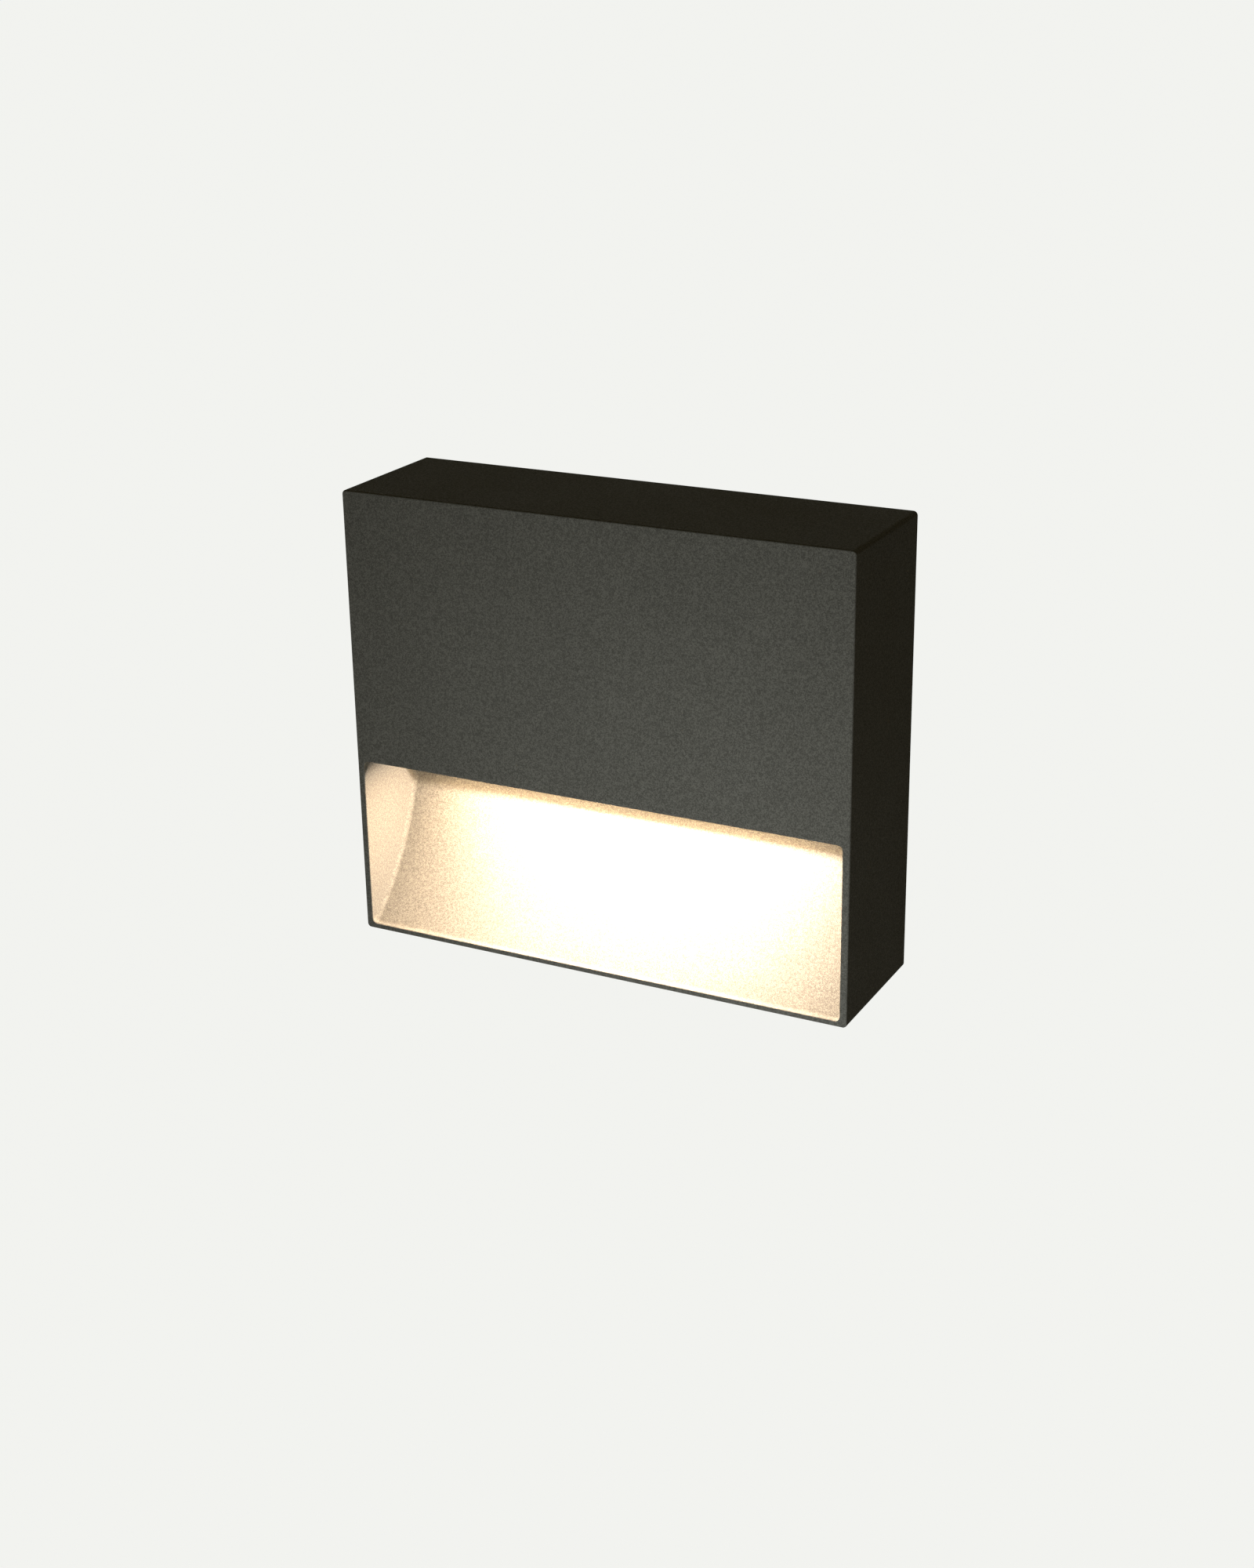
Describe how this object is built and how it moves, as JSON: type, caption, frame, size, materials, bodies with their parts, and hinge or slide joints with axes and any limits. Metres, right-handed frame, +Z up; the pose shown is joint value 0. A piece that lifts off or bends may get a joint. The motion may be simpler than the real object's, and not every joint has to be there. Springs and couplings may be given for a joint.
{
  "type": "outdoor wall lantern",
  "caption": "Flat rectangular wall light with a dark textured housing, a wide scooped light recess under a hidden row of LEDs, and a pull-off fit on a wall tray.",
  "frame": {"origin": "on the wall plane, midway between the two wall-fixing slots, which is the middle of the back", "axes": "+X to the right seen from the front, +Y into the wall, +Z up"},
  "size_m": [0.15, 0.042, 0.13],
  "materials": {
    "powder_coat": "fine-texture powder coat, dark grey",
    "stainless_steel": "bright",
    "clear_lens": "clear, polished",
    "silicone": "soft grey silicone",
    "led_phosphor": "yellow phosphor",
    "board_white": "white solder mask",
    "thermal_pad": "matt, blue grey",
    "extruded_aluminium": "mill finish",
    "zinc_steel": "zinc plated",
    "driver_shell": "white",
    "potting_resin": "black resin",
    "moulding": "black polyamide",
    "brass": "plain",
    "lead_brown": "satin",
    "lead_blue": "satin",
    "lead_red": "satin",
    "lead_black": "satin",
    "lead_earth": "green with a yellow stripe",
    "cast_aluminium": "as cast",
    "black_rubber": "matt",
    "tinned_copper": "tinned"
  },
  "bodies": {
    "wall_tray": {"mounting_tray": "cast_aluminium", "body_gasket": "silicone", "cable_grommet": "black_rubber", "blind_grommet": "black_rubber", "terminal_block": "moulding", "terminal_contacts": "brass", "terminal_clamp_screws": "zinc_steel", "terminal_fixing_screws": "zinc_steel", "tray_earth_lug": "tinned_copper", "tray_earth_screw": "brass", "tray_earth_lead": "lead_earth"},
    "light_head": {"housing": "powder_coat", "locking_screws": "stainless_steel", "lens_window": "clear_lens", "lens_gasket": "silicone", "led_chips": "led_phosphor", "led_board": "board_white", "thermal_pad": "thermal_pad", "led_carrier": "extruded_aluminium", "carrier_screws": "zinc_steel", "driver_case": "driver_shell", "driver_potting": "potting_resin", "driver_screws": "zinc_steel", "plug_block": "moulding", "plug_blades": "brass", "plug_screws": "zinc_steel", "live_lead": "lead_brown", "neutral_lead": "lead_blue", "led_lead_positive": "lead_red", "led_lead_negative": "lead_black", "housing_earth_lug": "tinned_copper", "housing_earth_screw": "brass", "housing_earth_lead": "lead_earth"}
  },
  "joints": [
    {"name": "housing_pull_off", "type": "slide", "parent": "wall_tray", "child": "light_head", "axis": [0, -1, 0], "range_m": [0, 0.03]}
  ]
}
